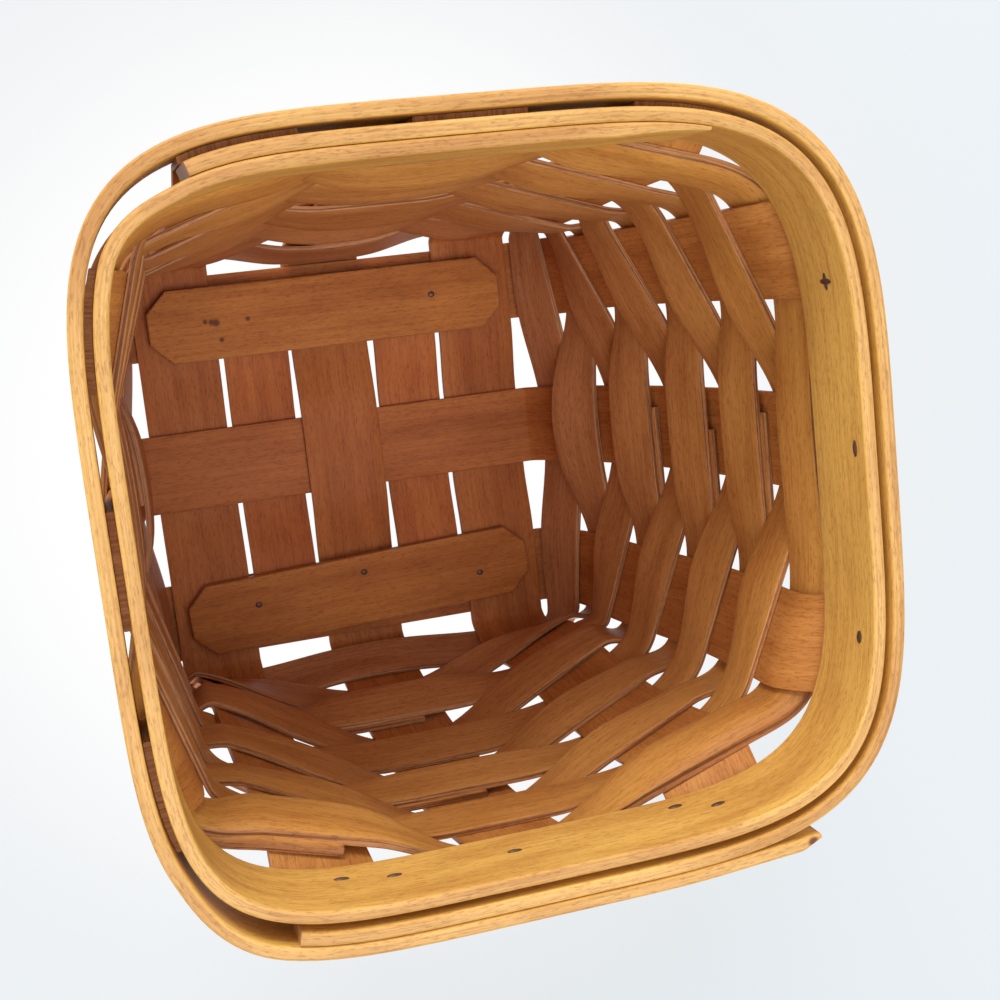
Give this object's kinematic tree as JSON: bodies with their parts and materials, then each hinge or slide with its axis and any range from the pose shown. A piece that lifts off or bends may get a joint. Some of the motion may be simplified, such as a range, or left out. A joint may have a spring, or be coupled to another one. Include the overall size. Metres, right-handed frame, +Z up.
{
  "type": "woven splint spoon basket",
  "caption": "Small square-based basket woven from hardwood splints, with flared open-weave walls, tacked base slats and a two-band rim, for standing spoons and utensils in.",
  "frame": {"origin": "bottom centre of the basket's bounding box, on the surface it stands on", "axes": "+Z up out of the mouth, +X to the right and +Y to the back, along the two ways the base splints run"},
  "size_m": [0.1154, 0.1166, 0.1181],
  "materials": {
    "upright_wood": "stained maple splint, satin",
    "filler_wood": "stained maple splint, redder, satin",
    "slat_wood": "stained maple slat, satin",
    "weaver_wood": "stained maple splint, satin",
    "band_wood": "golden maple band, satin"
  },
  "bodies": {
    "root": {"upsplint_x_front": "upright_wood", "upsplint_x_centre": "upright_wood", "upsplint_x_back": "upright_wood", "upsplint_y_left": "upright_wood", "upsplint_y_centre": "upright_wood", "upsplint_y_right": "upright_wood", "base_filler_left": "filler_wood", "base_filler_right": "filler_wood", "base_slat_front": "slat_wood", "base_slat_back": "slat_wood", "weaver_01": "weaver_wood", "weaver_02": "weaver_wood", "weaver_03": "weaver_wood", "weaver_04": "weaver_wood", "weaver_05": "weaver_wood", "weaver_06": "weaver_wood", "weaver_07": "weaver_wood", "weaver_08": "weaver_wood", "weaver_09": "weaver_wood", "weaver_10": "weaver_wood", "rim_band_inner": "band_wood", "rim_band_outer": "band_wood"}
  },
  "joints": []
}
